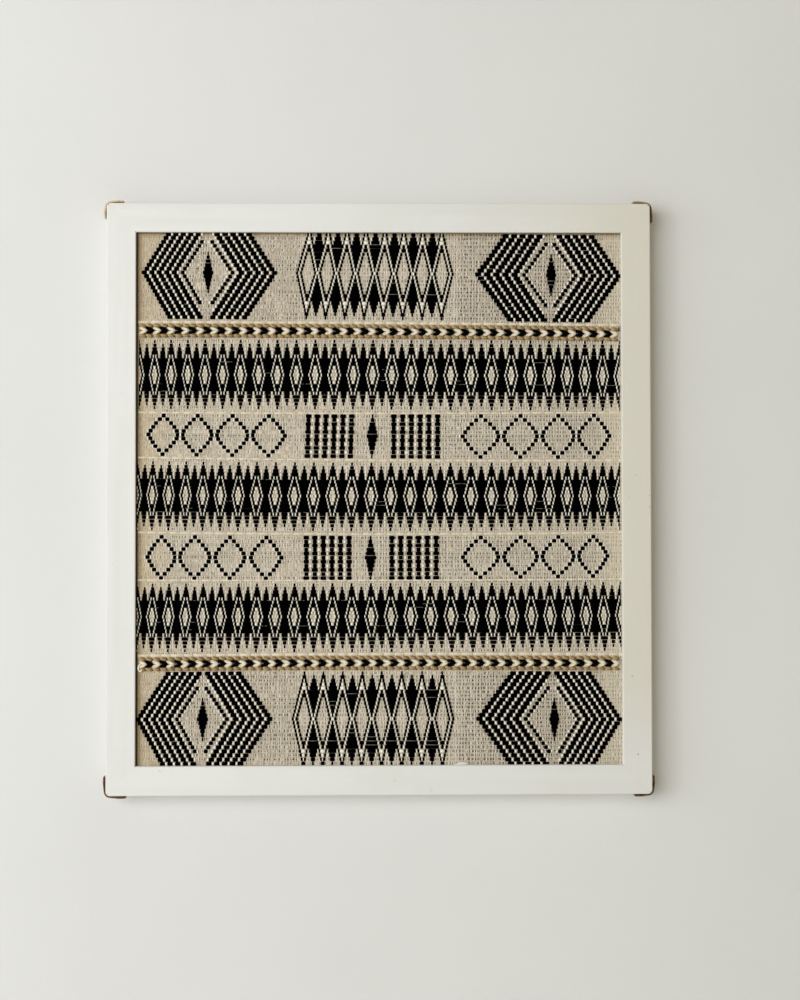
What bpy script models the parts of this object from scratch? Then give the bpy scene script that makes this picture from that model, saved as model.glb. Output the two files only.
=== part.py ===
"""Framed woven textile: handwoven cloth with two raised twined bands, set in a mitred wooden frame.

Metres, +Z up. The front faces -Y and the frame's back lies in the plane y = 0, against the wall.
The origin is the middle of the top rail's back face.
"""

import math

import bmesh
import bpy
from mathutils import Matrix, Vector

# Frame, face on
FRAME_WIDTH = 0.500
FRAME_HEIGHT = 0.543
FRAME_DEPTH = 0.022
RAIL_WIDTH = 0.027
CORNER_RADIUS = 0.004
CORNER_STEPS = 6
ARRIS = 0.0009
ARRIS_STEPS = 2
WINDOW_WIDTH = FRAME_WIDTH - 2 * RAIL_WIDTH
WINDOW_HEIGHT = FRAME_HEIGHT - 2 * RAIL_WIDTH
CENTRE_Z = -(FRAME_HEIGHT - RAIL_WIDTH) / 2

# The rabbet behind the rails' inner lip, which holds the cloth's margin
LIP_WIDTH = 0.006
LIP_DEPTH = 0.004
GAP = 0.0003

# Brass straps bent round the outer corners, by corner, with the lengths of their two legs
STRAPS = {
    "strap_top_right": {"side": 1, "top": 1, "level_leg": 0.0155, "upright_leg": 0.0168},
    "strap_bottom_right": {"side": 1, "top": -1, "level_leg": 0.0162, "upright_leg": 0.0165},
    "strap_bottom_left": {"side": -1, "top": -1, "level_leg": 0.0180, "upright_leg": 0.0175},
    "strap_top_left": {"side": -1, "top": 1, "level_leg": 0.0155, "upright_leg": 0.0135},
}
STRAP_THICKNESS = 0.0014
STRAP_HEIGHT = 0.010
STRAP_MIDDLE_Y = -0.0156
STRAP_LIFT = 0.0008
STRAP_BOW = math.radians(135)
STRAP_EDGE = 0.0003
BEND_STEPS = 6
LEG_STEPS = 5

# Cloth
CLOTH_THICKNESS = 0.002
CLOTH_MARGIN = 0.005
CLOTH_WIDTH = WINDOW_WIDTH + 2 * CLOTH_MARGIN
CLOTH_HEIGHT = WINDOW_HEIGHT + 2 * CLOTH_MARGIN
CLOTH_FRONT_Y = -FRAME_DEPTH + LIP_DEPTH + GAP
CLOTH_CELLS_X = 20
CLOTH_CELLS_Z = 22
SWELL = 0.00045
SWELL_FADE = 0.030
SWELL_WAVE_X = 0.150
SWELL_WAVE_Z = 0.118

# Twined bands: a chevron braid between two twisted brown cords
BAND_LENGTH = 0.4415
CORD_SPACING = 0.0092
CORD_WIDTH = 0.0031
CORD_HEIGHT = 0.0024
CORD_BUMPS = 66
CORD_LEAN = 0.0016
CORD_WAIST = 0.74
BRAID_HEIGHT = 0.0025
BRAID_WIDTH = CORD_SPACING - CORD_WIDTH - 2 * GAP
BRAID_CHEVRONS = 67
BRAID_LEAN = 0.0034
BRAID_WAIST = 0.70

# Each band's height above the frame's centre at the cloth's left side, middle and right side
BAND_LEVELS = {
    "band_upper": {"left": 0.1542, "middle": 0.1533, "right": 0.1510},
    "band_lower": {"left": -0.1518, "middle": -0.1510, "right": -0.1520},
}

# Round a cord and round the braid from one side of the flat back to the other, as shares of the half
# width and of the height
CORD_SECTION = (
    {"across": -0.85, "out": 0.0},
    {"across": -1.0, "out": 0.45},
    {"across": 0.0, "out": 1.0},
    {"across": 1.0, "out": 0.45},
    {"across": 0.85, "out": 0.0},
)
BRAID_SECTION = (
    {"across": -1.0, "out": 0.0},
    {"across": -1.0, "out": 0.35},
    {"across": -0.5, "out": 1.0},
    {"across": 0.0, "out": 0.72},
    {"across": 0.5, "out": 1.0},
    {"across": 1.0, "out": 0.35},
    {"across": 1.0, "out": 0.0},
)

WELD = 0.00001
SHARP = math.radians(50)
MITRE_OVERRUN = 0.020
UPRIGHT = Matrix.Rotation(math.pi / 2, 4, "X")


def clear_scene():
    for obj in list(bpy.data.objects):
        bpy.data.objects.remove(obj, do_unlink=True)


def new_collection(name):
    collection = bpy.data.collections.new(name)
    bpy.context.scene.collection.children.link(collection)
    return collection


def new_material(name, colour, roughness, metallic=0.0):
    material = bpy.data.materials.new(name)
    material.use_nodes = True
    shader = material.node_tree.nodes["Principled BSDF"]
    shader.inputs["Base Color"].default_value = (*colour, 1.0)
    shader.inputs["Roughness"].default_value = roughness
    shader.inputs["Metallic"].default_value = metallic
    return material


def new_object(name, mesh, collection, material=None):
    obj = bpy.data.objects.new(name, mesh)
    collection.objects.link(obj)
    if material and not mesh.materials:
        mesh.materials.append(material)
    return obj


def rounded_corners(width, height, radius, steps):
    """Points round a rectangle about the origin, each corner an arc."""
    points = []
    for quarter, (side, top) in enumerate(((1, 1), (-1, 1), (-1, -1), (1, -1))):
        middle = Vector((side * (width / 2 - radius), top * (height / 2 - radius)))
        for step in range(steps + 1):
            angle = math.radians(90) * (quarter + step / steps)
            points.append(middle + radius * Vector((math.cos(angle), math.sin(angle))))
    return points


def square_corners(width, height):
    x, z = width / 2, height / 2
    return [Vector(corner) for corner in ((x, z), (-x, z), (-x, -z), (x, -z))]


def outline_mesh(name, outlines, depth):
    """The flat outlines, inner ones cut out as windows, given a thickness and made a closed mesh."""
    curve = bpy.data.curves.new(name, "CURVE")
    curve.dimensions = "2D"
    curve.fill_mode = "BOTH"
    curve.extrude = depth / 2
    for outline in outlines:
        spline = curve.splines.new("POLY")
        spline.points.add(len(outline) - 1)
        for point, place in zip(spline.points, outline):
            point.co = (place.x, place.y, 0.0, 1.0)
        spline.use_cyclic_u = True
    guide = new_object(name, curve, bpy.context.scene.collection)
    graph = bpy.context.evaluated_depsgraph_get()
    mesh = bpy.data.meshes.new_from_object(guide.evaluated_get(graph))
    mesh.name = name
    bpy.data.objects.remove(guide, do_unlink=True)
    shape = bmesh.new()
    shape.from_mesh(mesh)
    bmesh.ops.remove_doubles(shape, verts=shape.verts, dist=WELD)
    bmesh.ops.recalc_face_normals(shape, faces=shape.faces)
    shape.to_mesh(mesh)
    shape.free()
    return mesh


def stand_upright(obj, y):
    """Turns a shape drawn flat in X and Y to face -Y, centred on the frame, with its middle at this y."""
    obj.matrix_world = Matrix.Translation((0.0, y, CENTRE_Z)) @ UPRIGHT


def ease_arrises(mesh, width, steps):
    """Rounds the sharp edges that run round the mesh's two flat faces."""
    shape = bmesh.new()
    shape.from_mesh(mesh)
    top = max(vertex.co.z for vertex in shape.verts)
    arrises = [
        edge
        for edge in shape.edges
        if all(abs(abs(vertex.co.z) - top) < WELD for vertex in edge.verts)
        and edge.calc_face_angle() > SHARP
    ]
    bmesh.ops.bevel(shape, geom=arrises, offset=width, segments=steps, profile=0.5, affect="EDGES")
    shape.to_mesh(mesh)
    shape.free()


def cut(obj, cutter, operation):
    boolean = obj.modifiers.new(f"{operation.lower()} {cutter.name}", "BOOLEAN")
    boolean.operation = operation
    boolean.solver = "EXACT"
    boolean.object = cutter


def helper(name, mesh, collection, y):
    obj = new_object(name, mesh, collection)
    stand_upright(obj, y)
    obj.hide_render = True
    obj.display_type = "WIRE"
    return obj


def mitred_outline(length, span, reach):
    """A trapezoid that holds one rail, its slanted ends on the frame's 45 degree mitres.

    length is the frame's size along the rail and span its size across. A little is left off each
    end, so that two rails stand GAP apart.
    """
    short = GAP * math.sqrt(0.5)
    outer = length / 2 + MITRE_OVERRUN - short
    inner = length / 2 - reach - short
    near, far = span / 2 - reach, span / 2 + MITRE_OVERRUN
    return [Vector(corner) for corner in ((outer, far), (-outer, far), (-inner, near), (inner, near))]


def build_frame(parts, cutters, paint):
    """Four rails cut from one ring, so that their arrises and their rabbet run through at the mitres."""
    outside = rounded_corners(FRAME_WIDTH, FRAME_HEIGHT, CORNER_RADIUS, CORNER_STEPS)
    window = square_corners(WINDOW_WIDTH, WINDOW_HEIGHT)
    ring = outline_mesh("frame_ring", [outside, window], FRAME_DEPTH)
    ease_arrises(ring, ARRIS, ARRIS_STEPS)
    ring.materials.append(paint)

    cutter_depth = 2 * (FRAME_DEPTH - LIP_DEPTH)
    rabbet_outline = square_corners(WINDOW_WIDTH + 2 * LIP_WIDTH, WINDOW_HEIGHT + 2 * LIP_WIDTH)
    rabbet_mesh = outline_mesh("rabbet_cutter", [rabbet_outline], cutter_depth)
    rabbet = helper("rabbet_cutter", rabbet_mesh, cutters, 0.0)

    reach = RAIL_WIDTH + MITRE_OVERRUN
    across = mitred_outline(FRAME_WIDTH, FRAME_HEIGHT, reach)
    upright = mitred_outline(FRAME_HEIGHT, FRAME_WIDTH, reach)
    for name, outline, turns in (
        ("rail_top", across, 0),
        ("rail_left", upright, 1),
        ("rail_bottom", across, 2),
        ("rail_right", upright, 3),
    ):
        turn = Matrix.Rotation(turns * math.pi / 2, 2)
        turned = [turn @ corner for corner in outline]
        mitre_mesh = outline_mesh(f"{name}_mitre", [turned], 3 * FRAME_DEPTH)
        mitre = helper(f"{name}_mitre", mitre_mesh, cutters, -FRAME_DEPTH / 2)
        rail = new_object(name, ring, parts)
        stand_upright(rail, -FRAME_DEPTH / 2)
        cut(rail, rabbet, "DIFFERENCE")
        cut(rail, mitre, "INTERSECT")


def strap_leg(length):
    """A leg's inner line: how far each point lies from the bend, and how far it stands off the rail."""
    points = []
    for step in range(1, LEG_STEPS + 1):
        along = step / LEG_STEPS
        points.append((along * (length - CORNER_RADIUS), GAP + STRAP_LIFT * math.sin(STRAP_BOW * along)))
    return points


def strap_path(level_leg, upright_leg):
    """The strap's inner line round the corner at +X and +Z, from the corner's point, as X and Z."""
    radius = CORNER_RADIUS + GAP
    middle = Vector((-CORNER_RADIUS, -CORNER_RADIUS))
    path = [Vector((middle.x - far, off)) for far, off in reversed(strap_leg(level_leg))]
    for step in range(BEND_STEPS + 1):
        angle = math.radians(90) * (1 - step / BEND_STEPS)
        path.append(middle + radius * Vector((math.cos(angle), math.sin(angle))))
    path += [Vector((off, middle.y - far)) for far, off in strap_leg(upright_leg)]
    return path


def build_straps(parts, brass):
    """One bent strip round each outer corner, its legs bowed slightly off the rails."""
    back = STRAP_MIDDLE_Y + STRAP_HEIGHT / 2
    for name, strap_facts in STRAPS.items():
        side, top = strap_facts["side"], strap_facts["top"]
        mesh = bpy.data.meshes.new(name)
        shape = bmesh.new()
        path = strap_path(strap_facts["level_leg"], strap_facts["upright_leg"])
        line = [shape.verts.new((side * place.x, back, top * place.y)) for place in path]
        edges = [shape.edges.new(pair) for pair in zip(line, line[1:])]
        pulled = bmesh.ops.extrude_edge_only(shape, edges=edges)["geom"]
        front_points = [item for item in pulled if isinstance(item, bmesh.types.BMVert)]
        bmesh.ops.translate(shape, verts=front_points, vec=(0.0, -STRAP_HEIGHT, 0.0))
        inside = Vector((-side * RAIL_WIDTH, STRAP_MIDDLE_Y, -top * RAIL_WIDTH))
        for face in shape.faces:
            if face.normal.dot(face.calc_center_median() - inside) < 0:
                face.normal_flip()
        shape.to_mesh(mesh)
        shape.free()
        strap = new_object(name, mesh, parts, brass)
        strap.location = (side * FRAME_WIDTH / 2, 0.0, CENTRE_Z + top * FRAME_HEIGHT / 2)
        sheet = strap.modifiers.new("thickness", "SOLIDIFY")
        sheet.thickness = STRAP_THICKNESS
        sheet.offset = 1.0
        edge = strap.modifiers.new("worn edges", "BEVEL")
        edge.width = STRAP_EDGE
        edge.segments = 1
        edge.limit_method = "ANGLE"
        edge.angle_limit = SHARP


def smooth_step(value):
    value = min(max(value, 0.0), 1.0)
    return value * value * (3 - 2 * value)


def cloth_front(x, z):
    """The y of the cloth's front, z counted from the frame's centre. Its margin lies flat in the rabbet."""
    inside = min(WINDOW_WIDTH / 2 - abs(x), WINDOW_HEIGHT / 2 - abs(z))
    fade = smooth_step(inside / SWELL_FADE)
    wave_x = math.sin(2 * math.pi * x / SWELL_WAVE_X + 2.2 * z / SWELL_WAVE_Z)
    wave_z = math.cos(2 * math.pi * z / SWELL_WAVE_Z)
    return CLOTH_FRONT_Y - SWELL * fade * (1 + 0.55 * wave_x + 0.45 * wave_z)


def build_cloth(parts, cotton):
    """One woven sheet, nearly flat, with the soft unevenness of cloth under light tension."""
    mesh = bpy.data.meshes.new("cloth")
    shape = bmesh.new()
    bmesh.ops.create_grid(shape, x_segments=CLOTH_CELLS_X, y_segments=CLOTH_CELLS_Z, size=0.5)
    for vertex in shape.verts:
        x, z = vertex.co.x * CLOTH_WIDTH, vertex.co.y * CLOTH_HEIGHT
        vertex.co = (x, cloth_front(x, z), z)
    shape.normal_update()
    if next(iter(shape.faces)).normal.y > 0:
        bmesh.ops.reverse_faces(shape, faces=shape.faces)
    shape.to_mesh(mesh)
    shape.free()
    cloth = new_object("cloth", mesh, parts, cotton)
    cloth.location.z = CENTRE_Z
    sheet = cloth.modifiers.new("thickness", "SOLIDIFY")
    sheet.thickness = CLOTH_THICKNESS
    sheet.offset = -1.0


def band_level(levels, x):
    """A band's height at x, a smooth line through its heights at the left, the middle and the right."""
    along = x / (BAND_LENGTH / 2)
    bow = (levels["left"] + levels["right"]) / 2 - levels["middle"]
    slope = (levels["right"] - levels["left"]) / 2
    return levels["middle"] + slope * along + bow * along**2


def ridged_rings(levels, offset, section, half_width, height, bumps, waist, lean):
    """Rings of points along a band's cord, swelling and narrowing once for each bump.

    lean(across) is how far along the cord each point of the section is set, so that the ridges slant.
    """
    rings = []
    steps = 2 * bumps
    for step in range(steps + 1):
        x = BAND_LENGTH * (step / steps - 0.5)
        swelling = 1.0 if step % 2 else waist
        end_room = BAND_LENGTH / 2 - abs(x)
        ring = []
        for point in section:
            slant = lean(point["across"])
            place_x = x + min(max(slant, -end_room), end_room)
            z = band_level(levels, place_x) + offset + point["across"] * half_width
            out = GAP + point["out"] * height * swelling
            ring.append((place_x, cloth_front(place_x, z) - out, z))
        rings.append(ring)
    return rings


def loft(name, rings, collection, material):
    """A closed body through the rings, its two ends capped."""
    mesh = bpy.data.meshes.new(name)
    shape = bmesh.new()
    loops = [[shape.verts.new(point) for point in ring] for ring in rings]
    for near, far in zip(loops, loops[1:]):
        for here, point in enumerate(near):
            there = (here + 1) % len(near)
            shape.faces.new((point, near[there], far[there], far[here]))
    shape.faces.new(loops[0])
    shape.faces.new(loops[-1])
    bmesh.ops.recalc_face_normals(shape, faces=shape.faces)
    shape.to_mesh(mesh)
    shape.free()
    obj = new_object(name, mesh, collection, material)
    obj.location.z = CENTRE_Z


def slanted_lean(across):
    return -CORD_LEAN * across


def chevron_lean(across):
    return BRAID_LEAN * (0.5 - abs(across))


def build_bands(parts, jute, braid_cotton):
    """Two raised bands across the cloth, each a chevron braid with a twisted cord above and below it."""
    for band, levels in BAND_LEVELS.items():
        for place, side in (("cord_high", 1), ("cord_low", -1)):
            rings = ridged_rings(
                levels,
                side * CORD_SPACING / 2,
                CORD_SECTION,
                CORD_WIDTH / 2,
                CORD_HEIGHT,
                CORD_BUMPS,
                CORD_WAIST,
                slanted_lean,
            )
            loft(f"{band}_{place}", rings, parts, jute)
        rings = ridged_rings(
            levels,
            0.0,
            BRAID_SECTION,
            BRAID_WIDTH / 2,
            BRAID_HEIGHT,
            BRAID_CHEVRONS,
            BRAID_WAIST,
            chevron_lean,
        )
        loft(f"{band}_braid", rings, parts, braid_cotton)


def main():
    clear_scene()
    parts = new_collection("framed woven textile")
    cutters = new_collection("cutters")
    paint = new_material("white paint", (0.79, 0.79, 0.75), 0.45)
    brass = new_material("aged brass", (0.20, 0.13, 0.07), 0.45, 0.9)
    cotton = new_material("woven cotton", (0.57, 0.51, 0.40), 0.95)
    jute = new_material("brown jute", (0.33, 0.22, 0.09), 0.95)
    braid_cotton = new_material("braided cotton", (0.62, 0.56, 0.44), 0.95)
    build_frame(parts, cutters, paint)
    build_straps(parts, brass)
    build_cloth(parts, cotton)
    build_bands(parts, jute, braid_cotton)


main()
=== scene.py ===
"""A handwoven cloth with two raised twined bands, in a white-painted mitred frame on a wall."""

import math
import random

import bmesh
import bpy
import numpy as np
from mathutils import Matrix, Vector


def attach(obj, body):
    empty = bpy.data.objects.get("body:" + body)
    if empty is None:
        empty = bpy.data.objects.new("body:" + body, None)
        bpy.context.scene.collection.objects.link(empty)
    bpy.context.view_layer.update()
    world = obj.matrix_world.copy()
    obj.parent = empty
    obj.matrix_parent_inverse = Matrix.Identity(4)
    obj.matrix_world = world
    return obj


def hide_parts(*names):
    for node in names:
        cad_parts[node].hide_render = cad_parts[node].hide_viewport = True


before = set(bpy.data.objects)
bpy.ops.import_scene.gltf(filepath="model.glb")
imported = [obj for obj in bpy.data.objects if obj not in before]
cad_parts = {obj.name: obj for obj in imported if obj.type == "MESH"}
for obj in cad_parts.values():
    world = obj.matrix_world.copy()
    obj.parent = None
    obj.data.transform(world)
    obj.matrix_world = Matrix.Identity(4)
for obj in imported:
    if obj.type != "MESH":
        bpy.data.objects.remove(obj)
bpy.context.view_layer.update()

# Sizes that the solids share, in metres
FRAME_WIDTH = 0.500
FRAME_HEIGHT = 0.543
CENTRE_Z = -0.258
WINDOW_WIDTH = 0.446
WINDOW_HEIGHT = 0.489
CLOTH_WIDTH = 0.456
CLOTH_HEIGHT = 0.499
CLOTH_THICKNESS = 0.002
CLOTH_FRONT_Y = -0.0177
SWELL = 0.00045
SWELL_FADE = 0.030
SWELL_WAVE_X = 0.150
SWELL_WAVE_Z = 0.118
BAND_LENGTH = 0.4415
CORD_SPACING = 0.0092
COLUMN = 0.000885
WEFT_THREAD = 0.0021
MITRE_LENGTH = 0.0338
MITRE_DIAGONAL = 0.0384
MITRE_INSET = 0.0012

# How far from the middle the floats reach, in mm: spindles are cut off here and other floats left out
SPINDLE_EDGE = 222.6
PEEK_EDGE = 222
SPINDLE_REACH = 226
HEXAGON_EDGE = 221.5

# Heights of the woven rows' middles above the frame's centre, how far apart their picks lie, how much
# further apart they lie at the right than in the middle, and how much they bend away from even steps
ROWS = {
    "hexagons_top": {
        "left": 0.20793, "middle": 0.20704, "right": 0.20525,
        "pitch": 0.003512, "fan": 0.000018, "bend": 0.0000060, "pick": 0,
    },
    "spindles_top": {
        "left": 0.11355, "middle": 0.11328, "right": 0.11232,
        "pitch": 0.003400, "fan": 0.000038, "bend": 0.0000046, "pick": 27,
    },
    "rings_top": {
        "left": 0.05869, "middle": 0.05702, "right": 0.05712,
        "pitch": 0.003698, "fan": 0.000147, "bend": -0.0000085, "pick": 43,
    },
    "spindles_middle": {
        "left": 0.00315, "middle": 0.00180, "right": 0.00214,
        "pitch": 0.003327, "fan": -0.000040, "bend": -0.0000083, "pick": 59,
    },
    "rings_bottom": {
        "left": -0.05382, "middle": -0.05461, "right": -0.05344,
        "pitch": 0.003707, "fan": -0.000081, "bend": -0.0000117, "pick": 75,
    },
    "spindles_bottom": {
        "left": -0.10840, "middle": -0.10860, "right": -0.10810,
        "pitch": 0.003347, "fan": 0.000024, "bend": -0.0000123, "pick": 91,
    },
    "hexagons_bottom": {
        "left": -0.20231, "middle": -0.20228, "right": -0.20345,
        "pitch": 0.003604, "fan": 0.000015, "bend": -0.0000103, "pick": 118,
    },
}

# Where the long spindles' middles stand across the cloth in the middle row, in mm. They are twenty
# warp threads apart
SPINDLE_NUMBERS = range(-13, 14)
SPINDLE_PLACES = (
    -220.4, -205.9, -190.8, -175.4, -159.6, -143.5, -127.1, -110.4, -93.3, -75.9, -58.6, -41.2, -23.7,
    -6.0, 11.7, 29.4, 47.3, 65.6, 84.4, 103.3, 121.5, 139.2, 156.4, 173.2, 189.6, 205.9, 222.0,
)

# How far the warp drifts sideways down the cloth, in millimetres
WARP_DRIFT = {
    "height": (-250, -134, -82, -22, 28, 88, 134, 250),
    "left": (-3.4, -3.15, -1.95, -3.1, -2.0, -0.6, -0.4, 0.2),
    "middle": (-1.3, -1.3, -1.9, -2.1, -1.3, -0.7, 0.2, 0.5),
    "right": (1.0, 1.0, 0.0, -0.4, 0.0, 0.0, 0.3, 0.5),
}

# Half a hexagon, in mm: where its outer stripe stands from its middle at the widest pick, how far apart
# the stripes are and how much that closes at each pick, how wide they are, where the lone inner one
# stands, and how far they all step in at each pick
HEXAGONS = {
    "top_left": {
        "row": "hexagons_top",
        "middle": -157.4,
        "left": {
            "outer": 58.4, "spacing": 6.87, "squeeze": 0.0, "wide": 4.75,
            "inner": 23.3, "up": 2.19, "down": 1.96,
        },
        "right": {
            "outer": 61.0, "spacing": 7.55, "squeeze": 0.022, "wide": 5.1,
            "inner": 22.5, "up": 2.33, "down": 2.29,
        },
    },
    "top_right": {
        "row": "hexagons_top",
        "middle": 158.8,
        "left": {
            "outer": 67.4, "spacing": 8.4, "squeeze": 0.055, "wide": 5.85,
            "inner": 25.0, "up": 2.55, "down": 2.46,
        },
        "right": {
            "outer": 62.4, "spacing": 7.72, "squeeze": 0.025, "wide": 5.4,
            "inner": 23.0, "up": 2.46, "down": 2.41,
        },
    },
    "bottom_left": {
        "row": "hexagons_bottom",
        "middle": -162.1,
        "left": {
            "outer": 58.7, "spacing": 7.0, "squeeze": 0.0, "wide": 4.85,
            "inner": 23.3, "up": 2.28, "down": 2.02,
        },
        "right": {
            "outer": 61.4, "spacing": 7.74, "squeeze": 0.05, "wide": 5.15,
            "inner": 22.3, "up": 2.35, "down": 2.43,
        },
    },
    "bottom_right": {
        "row": "hexagons_bottom",
        "middle": 160.4,
        "left": {
            "outer": 68.8, "spacing": 8.4, "squeeze": 0.04, "wide": 5.75,
            "inner": 26.2, "up": 2.58, "down": 2.64,
        },
        "right": {
            "outer": 60.0, "spacing": 7.32, "squeeze": 0.0, "wide": 5.1,
            "inner": 22.7, "up": 2.34, "down": 2.2,
        },
    },
}

# The first diamond's middle, the step to the next, how much the step grows, and the lean, in mm
LATTICES = {
    "hexagons_top": {"first": -65.45, "step": 17.45, "growth": 0.02, "lean": 0.042},
    "hexagons_bottom": {"first": -69.5, "step": 17.44, "growth": 0.10, "lean": 0.012},
}

# Rings and bead columns, by their middles and half widths in mm
RINGS = {
    "rings_top": {
        "middles": (-198.4, -167.2, -134.9, -101.6, 93.4, 130.0, 164.9, 197.9),
        "halves": (13.4, 13.4, 14.1, 14.9, 16.5, 15.3, 14.6, 14.3),
    },
    "rings_bottom": {
        "middles": (-199.9, -169.4, -137.2, -103.9, 93.0, 129.9, 164.5, 196.8),
        "halves": (12.6, 13.8, 13.5, 13.9, 16.3, 15.2, 14.4, 13.2),
    },
}
BEADS = {
    "rings_top": {
        "left": -65.6, "left_step": 7.92, "spindle": -6.6, "right": 13.2, "right_step": 8.08, "lean": 0.036,
    },
    "rings_bottom": {
        "left": -67.2, "left_step": 7.84, "spindle": -8.3, "right": 11.4, "right_step": 8.14, "lean": 0.0,
    },
}

# Heights of the twined bands above the frame's centre
BANDS = {
    "band_upper": {"left": 0.1542, "middle": 0.1533, "right": 0.1510},
    "band_lower": {"left": -0.1518, "middle": -0.1510, "right": -0.1520},
}

# Lines of plain weft between the rows, by their heights above the frame's centre, in mm
PLAIN_LINES = (
    {"left": 162.0, "middle": 161.2, "right": 159.7, "tall": 2.7},
    {"left": 79.0, "middle": 78.1, "right": 78.8, "tall": 1.7},
    {"left": 37.4, "middle": 35.0, "right": 34.7, "tall": 1.7},
    {"left": -31.3, "middle": -33.0, "right": -32.0, "tall": 1.7},
    {"left": -74.9, "middle": -75.5, "right": -74.8, "tall": 1.7},
    {"left": -144.2, "middle": -143.4, "right": -144.0, "tall": 3.0},
)

chance = random.Random(11)


def smooth_step(value):
    value = np.clip(value, 0, 1)
    return value * value * (3 - 2 * value)


def cloth_front(x, z):
    """How far forward the cloth's front lies, x and z from the frame's centre, as in the solid."""
    inside = np.minimum(WINDOW_WIDTH / 2 - np.abs(x), WINDOW_HEIGHT / 2 - np.abs(z))
    fade = smooth_step(inside / SWELL_FADE)
    wave_x = np.sin(2 * math.pi * x / SWELL_WAVE_X + 2.2 * z / SWELL_WAVE_Z)
    wave_z = np.cos(2 * math.pi * z / SWELL_WAVE_Z)
    return CLOTH_FRONT_Y - SWELL * fade * (1 + 0.55 * wave_x + 0.45 * wave_z)


def across(levels, x, reach=0.205):
    """A height that runs through a left, a middle and a right value."""
    along = x / reach
    bow = (levels["left"] + levels["right"]) / 2 - levels["middle"]
    slope = (levels["right"] - levels["left"]) / 2
    return levels["middle"] + slope * along + bow * along**2


def pick_height(row, pick, x):
    """The height of a pick of weft, counted upwards from the row's middle."""
    facts = ROWS[row]
    return across(facts, x) + pick * (facts["pitch"] + facts["fan"] * x / 0.22) + facts["bend"] * pick**2


def warp_drift(x, z):
    """How far a warp thread that belongs at x has drifted sideways at height z."""
    heights = np.array(WARP_DRIFT["height"]) / 1000
    sides = ("left", "middle", "right")
    left, middle, right = (np.interp(z, heights, np.array(WARP_DRIFT[side]) / 1000) for side in sides)
    near_left = middle + (left - middle) * np.clip((-0.006 - x) / 0.104, 0, 1)
    return near_left + (right - middle) * np.clip((x + 0.006) / 0.091, 0, 1)


def warp_place(column):
    """Where a warp thread stands across the cloth, in metres: the columns are wider in the middle."""
    return np.interp(np.asarray(column) / 20, SPINDLE_NUMBERS, SPINDLE_PLACES) / 1000


# Finishes
class Finish:
    """A material with a few words for joining its nodes."""

    def __init__(self, name):
        self.material = bpy.data.materials.new(name)
        self.material.use_nodes = True
        self.nodes = self.material.node_tree.nodes
        self.links = self.material.node_tree.links
        self.surface = self.nodes["Principled BSDF"]
        self.places = None

    def put(self, socket, value):
        if isinstance(value, bpy.types.NodeSocket):
            self.links.new(value, socket)
        else:
            socket.default_value = value

    def place(self, kind="Object"):
        if self.places is None:
            self.places = self.nodes.new("ShaderNodeTexCoord")
        return self.places.outputs[kind]

    def stretched(self, source, scale, move=(0, 0, 0)):
        node = self.nodes.new("ShaderNodeMapping")
        self.put(node.inputs["Vector"], source)
        node.inputs["Scale"].default_value = scale
        node.inputs["Location"].default_value = move
        return node.outputs["Vector"]

    def noise(self, source, scale, detail=2.0, rough=0.5):
        node = self.nodes.new("ShaderNodeTexNoise")
        self.put(node.inputs["Vector"], source)
        node.inputs["Scale"].default_value = scale
        node.inputs["Detail"].default_value = detail
        node.inputs["Roughness"].default_value = rough
        return node.outputs["Fac"]

    def sums(self, work, first, second=0.0, third=0.0):
        node = self.nodes.new("ShaderNodeMath")
        node.operation = work
        for socket, value in zip(node.inputs, (first, second, third)):
            self.put(socket, value)
        return node.outputs[0]

    def vectors(self, work, first, second=(0, 0, 0)):
        node = self.nodes.new("ShaderNodeVectorMath")
        node.operation = work
        self.put(node.inputs[0], first)
        self.put(node.inputs[1], second)
        return node.outputs["Value"] if work in ("LENGTH", "DISTANCE") else node.outputs["Vector"]

    def parts(self, source):
        node = self.nodes.new("ShaderNodeSeparateXYZ")
        self.put(node.inputs[0], source)
        return node.outputs

    def joined(self, x, y, z):
        node = self.nodes.new("ShaderNodeCombineXYZ")
        for socket, value in zip(node.inputs, (x, y, z)):
            self.put(socket, value)
        return node.outputs[0]

    def between(self, value, low, high, to_low=0.0, to_high=1.0):
        node = self.nodes.new("ShaderNodeMapRange")
        node.interpolation_type = "SMOOTHSTEP"
        for socket, number in zip(node.inputs, (value, low, high, to_low, to_high)):
            self.put(socket, number)
        return node.outputs["Result"]

    def mixed(self, share, first, second):
        node = self.nodes.new("ShaderNodeMix")
        node.data_type = "RGBA"
        self.put(node.inputs[0], share)
        self.put(node.inputs[6], first if isinstance(first, bpy.types.NodeSocket) else (*first, 1))
        self.put(node.inputs[7], second if isinstance(second, bpy.types.NodeSocket) else (*second, 1))
        return node.outputs[2]

    def random_cell(self, source):
        node = self.nodes.new("ShaderNodeTexWhiteNoise")
        node.noise_dimensions = "2D"
        self.put(node.inputs["Vector"], source)
        return node.outputs["Value"]

    def relief(self, height, distance, strength=1.0, after=None):
        node = self.nodes.new("ShaderNodeBump")
        self.put(node.inputs["Height"], height)
        node.inputs["Distance"].default_value = distance
        node.inputs["Strength"].default_value = strength
        if after is not None:
            self.put(node.inputs["Normal"], after)
        return node.outputs["Normal"]

    def finish(self, colour, rough, normal=None, **fixed):
        given = isinstance(colour, bpy.types.NodeSocket)
        self.put(self.surface.inputs["Base Color"], colour if given else (*colour, 1))
        self.put(self.surface.inputs["Roughness"], rough)
        if normal is not None:
            self.put(self.surface.inputs["Normal"], normal)
        for name, value in fixed.items():
            self.surface.inputs[name.replace("_", " ")].default_value = value
        return self.material


def tone(red, green, blue):
    """A colour by its screen values, as the linear numbers that a shader takes."""
    def linear(value):
        value = value / 255
        return value / 12.92 if value <= 0.04045 else ((value + 0.055) / 1.055) ** 2.4

    return tuple(linear(v) for v in (red, green, blue))


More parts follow.
